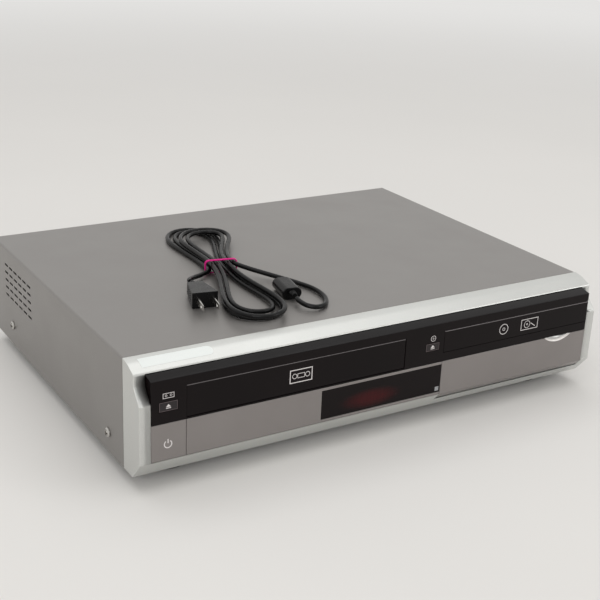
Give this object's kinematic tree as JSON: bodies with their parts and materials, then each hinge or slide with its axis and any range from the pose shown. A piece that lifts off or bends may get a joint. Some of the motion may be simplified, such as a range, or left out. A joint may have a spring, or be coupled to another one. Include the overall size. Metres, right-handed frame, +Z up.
{
  "type": "dvd vcr combo player",
  "caption": "Silver and black disc and cassette recorder with swinging cassette flap, sliding disc tray, drop-down control door and a tied mains lead.",
  "frame": {"origin": "centre of the player's footprint, lead left out, on the plane that its feet stand on", "axes": "+X to the right of a viewer who faces the front, +Y from the front to the rear, +Z up"},
  "size_m": [0.435, 0.338, 0.1118],
  "materials": {
    "silver_steel": "satin silver paint on folded steel",
    "plain_steel": "bare zinc-coated sheet, dull",
    "silver_plastic": "moulded ABS, painted bright satin silver",
    "mirror_silver": "moulded plastic with a mirror-silver face",
    "gloss_black": "piano-black acrylic face",
    "dull_black": "fine-grained moulding",
    "window_smoke": "dark smoked acrylic",
    "tube_glass": "dark glass envelope",
    "board_green": "solder-masked glass-fibre board",
    "white_plastic": "acetal, natural white",
    "rubber_black": "soft PVC and rubber",
    "chrome": "bright plated",
    "aluminium": "die-cast and turned",
    "tie_pink": "plastic-covered twist wire"
  },
  "bodies": {
    "player": {"top_cover": "silver_steel", "base_pan": "plain_steel", "rear_panel": "plain_steel", "foot_front_left": "rubber_black", "foot_front_right": "rubber_black", "foot_rear_left": "rubber_black", "foot_rear_right": "rubber_black", "cover_screw_left_front": "chrome", "cover_screw_left_rear": "chrome", "cover_screw_right_front": "chrome", "cover_screw_right_rear": "chrome", "rear_screw_left": "chrome", "rear_screw_right": "chrome", "front_moulding": "silver_plastic", "upper_panel": "gloss_black", "lower_panel": "mirror_silver", "display_window": "window_smoke", "display_tube": "tube_glass", "control_subpanel": "dull_black", "front_av_sockets": "dull_black", "card_slot": "plain_steel", "front_board": "board_green", "main_board": "board_green", "power_board": "board_green", "vhs_deck_chassis": "plain_steel", "drum_base": "aluminium", "drive_housing": "plain_steel", "pickup_traverse": "plain_steel", "hard_disk": "aluminium", "fan_frame": "dull_black", "aerial_sockets": "plain_steel", "rear_av_sockets": "dull_black", "mains_inlet": "dull_black", "mains_lead": "rubber_black", "lead_tie": "tie_pink", "mains_plug": "rubber_black", "lead_coupler": "rubber_black"},
    "flap": {"cassette_flap": "gloss_black"},
    "tray": {"disc_tray": "dull_black", "tray_front": "gloss_black"},
    "pinion": {"tray_pinion": "white_plastic"},
    "carriage": {"cassette_carriage": "plain_steel"},
    "door": {"control_door": "mirror_silver"},
    "power": {"power_button": "mirror_silver"},
    "eject": {"vhs_eject_button": "gloss_black"},
    "open_button": {"disc_open_button": "gloss_black"},
    "key_1": {"control_key_1": "silver_plastic"},
    "key_2": {"control_key_2": "silver_plastic"},
    "key_3": {"control_key_3": "silver_plastic"},
    "key_4": {"control_key_4": "silver_plastic"},
    "key_5": {"control_key_5": "silver_plastic"},
    "key_6": {"control_key_6": "silver_plastic"},
    "supply": {"supply_reel": "white_plastic"},
    "takeup": {"takeup_reel": "white_plastic"},
    "drum": {"head_drum": "chrome"},
    "capstan": {"capstan_flywheel": "aluminium"},
    "spindle": {"drive_spindle": "dull_black"},
    "pickup": {"optical_pickup": "aluminium"},
    "clamp": {"disc_clamp": "white_plastic"},
    "fan": {"fan_rotor": "dull_black"}
  },
  "joints": [
    {"name": "flap_swing", "type": "hinge", "parent": "player", "child": "flap", "pos_m": [-0.08335, -0.1646, 0.0859], "axis": [1, 0, 0], "range_deg": [0, 88], "stiffness_Nm_per_rad": 0.0015, "springref_deg": -17.19},
    {"name": "door_drop", "type": "hinge", "parent": "player", "child": "door", "pos_m": [0.1278, -0.1635, 0.024], "axis": [1, 0, 0], "range_deg": [0, 88]},
    {"name": "tray_slide", "type": "slide", "parent": "player", "child": "tray", "axis": [0, -1, 0], "range_m": [0, 0.148]},
    {"name": "pinion_spin", "type": "hinge", "parent": "player", "child": "pinion", "pos_m": [0.0763, -0.137, 0.063], "axis": [0, 0, 1], "range_deg": [0, 1065]},
    {"name": "carriage_drop", "type": "slide", "parent": "player", "child": "carriage", "axis": [0, 0, -1], "range_m": [0, 0.016]},
    {"name": "power_push", "type": "slide", "parent": "player", "child": "power", "axis": [0, 1, 0], "range_m": [0, 0.0008], "stiffness_N_per_m": 500, "springref_m": -0.0006},
    {"name": "eject_push", "type": "slide", "parent": "player", "child": "eject", "axis": [0, 1, 0], "range_m": [0, 0.0008], "stiffness_N_per_m": 500, "springref_m": -0.0006},
    {"name": "open_push", "type": "slide", "parent": "player", "child": "open_button", "axis": [0, 1, 0], "range_m": [0, 0.0008], "stiffness_N_per_m": 500, "springref_m": -0.0006},
    {"name": "key_1_push", "type": "slide", "parent": "player", "child": "key_1", "axis": [0, 1, 0], "range_m": [0, 0.0008], "stiffness_N_per_m": 500, "springref_m": -0.0006},
    {"name": "key_2_push", "type": "slide", "parent": "player", "child": "key_2", "axis": [0, 1, 0], "range_m": [0, 0.0008], "stiffness_N_per_m": 500, "springref_m": -0.0006},
    {"name": "key_3_push", "type": "slide", "parent": "player", "child": "key_3", "axis": [0, 1, 0], "range_m": [0, 0.0008], "stiffness_N_per_m": 500, "springref_m": -0.0006},
    {"name": "key_4_push", "type": "slide", "parent": "player", "child": "key_4", "axis": [0, 1, 0], "range_m": [0, 0.0008], "stiffness_N_per_m": 500, "springref_m": -0.0006},
    {"name": "key_5_push", "type": "slide", "parent": "player", "child": "key_5", "axis": [0, 1, 0], "range_m": [0, 0.0008], "stiffness_N_per_m": 500, "springref_m": -0.0006},
    {"name": "key_6_push", "type": "slide", "parent": "player", "child": "key_6", "axis": [0, 1, 0], "range_m": [0, 0.0008], "stiffness_N_per_m": 500, "springref_m": -0.0006},
    {"name": "supply_spin", "type": "hinge", "parent": "player", "child": "supply", "pos_m": [-0.12935, -0.081, 0.04], "axis": [0, 0, 1], "continuous": true},
    {"name": "takeup_spin", "type": "hinge", "parent": "player", "child": "takeup", "pos_m": [-0.03735, -0.081, 0.04], "axis": [0, 0, 1], "continuous": true},
    {"name": "drum_spin", "type": "hinge", "parent": "player", "child": "drum", "pos_m": [-0.08335, 0.011, 0.052], "axis": [0.1028, 0, 0.9947], "continuous": true},
    {"name": "capstan_spin", "type": "hinge", "parent": "player", "child": "capstan", "pos_m": [-0.022, -0.001, 0.028], "axis": [0, 0, 1], "continuous": true},
    {"name": "disc_spin", "type": "hinge", "parent": "player", "child": "spindle", "pos_m": [0.128, -0.081, 0.0657], "axis": [0, 0, 1], "continuous": true},
    {"name": "clamp_spin", "type": "hinge", "parent": "player", "child": "clamp", "pos_m": [0.128, -0.081, 0.0853], "axis": [0, 0, 1], "continuous": true},
    {"name": "fan_spin", "type": "hinge", "parent": "player", "child": "fan", "pos_m": [-0.02, 0.14665, 0.057], "axis": [0, 1, 0], "continuous": true},
    {"name": "pickup_travel", "type": "slide", "parent": "player", "child": "pickup", "axis": [0, 1, 0], "range_m": [0, 0.028]}
  ],
  "couplings": [
    {"joint": "pinion_spin", "follows": "tray_slide", "rad_per_m": 125}
  ]
}
